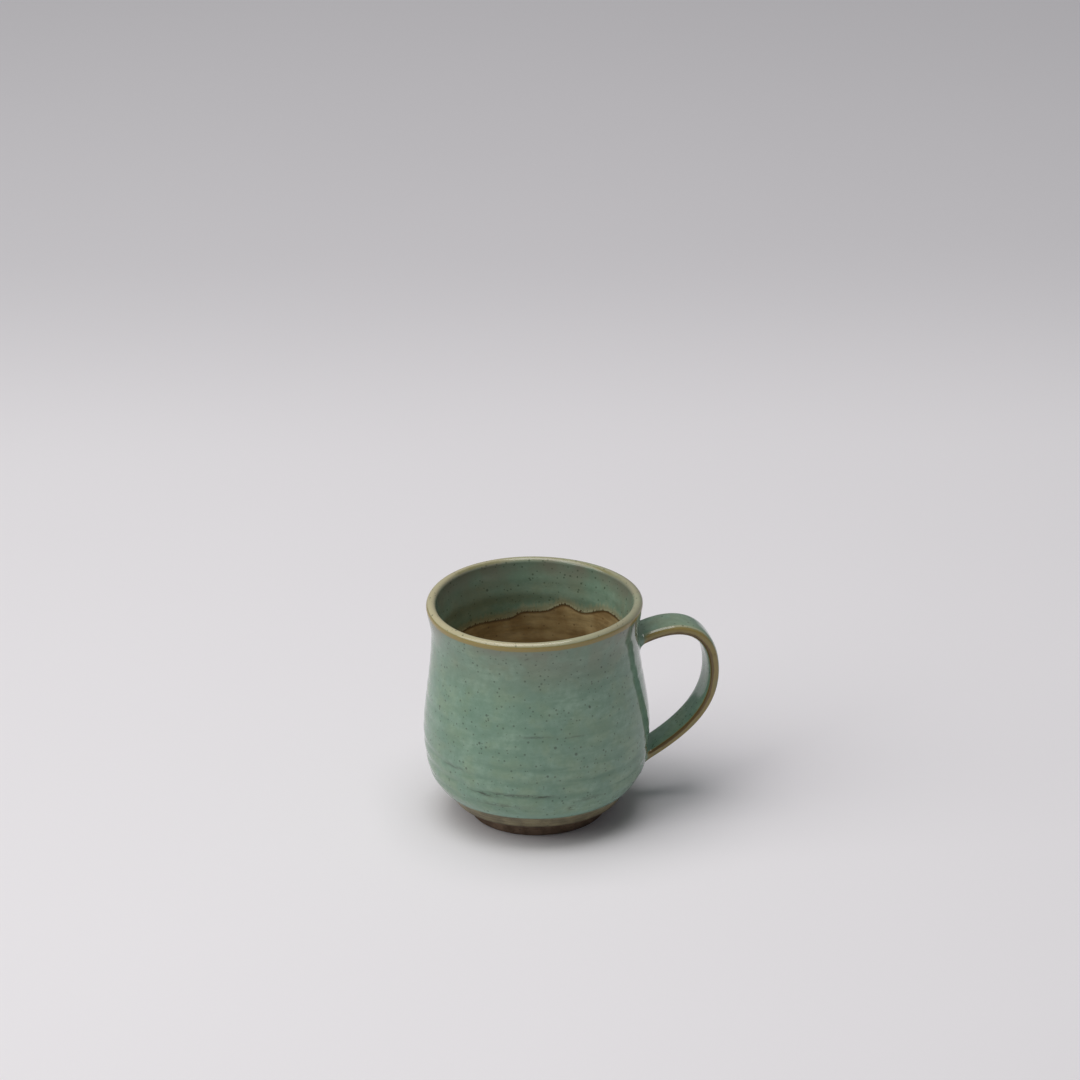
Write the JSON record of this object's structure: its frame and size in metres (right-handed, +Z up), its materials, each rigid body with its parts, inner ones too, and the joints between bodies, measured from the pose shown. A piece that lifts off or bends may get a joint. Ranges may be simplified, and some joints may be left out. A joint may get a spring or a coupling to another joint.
{
  "type": "mug",
  "caption": "Round-bellied stoneware mug with a flared lip, a turned foot ring, a pulled strap handle, a green glaze outside and a brown glazed lining.",
  "frame": {"origin": "on the surface the mug stands on, under the middle of its whole outline with the handle; the cup's own axis is 14.6 mm from it towards -X", "axes": "+Z up the cup, +X from the cup towards the handle, +Y to the left of the handle seen from the cup"},
  "size_m": [0.1192, 0.09, 0.0911],
  "materials": {
    "bare_clay": "turned, unglazed, iron-rich stoneware, matte",
    "stoneware": "thrown stoneware with a thin olive wash, matte",
    "green_glaze": "glossy celadon glaze with iron specks, breaking to ochre on edges",
    "brown_glaze": "glossy brown liner glaze"
  },
  "bodies": {
    "root": {"foot_ring": "bare_clay", "cup_body": "stoneware", "outer_glaze": "green_glaze", "inner_rim_glaze": "green_glaze", "liner_glaze": "brown_glaze", "handle": "stoneware", "handle_glaze": "green_glaze", "upper_handle_joint": "green_glaze", "lower_handle_joint": "green_glaze"}
  },
  "joints": []
}
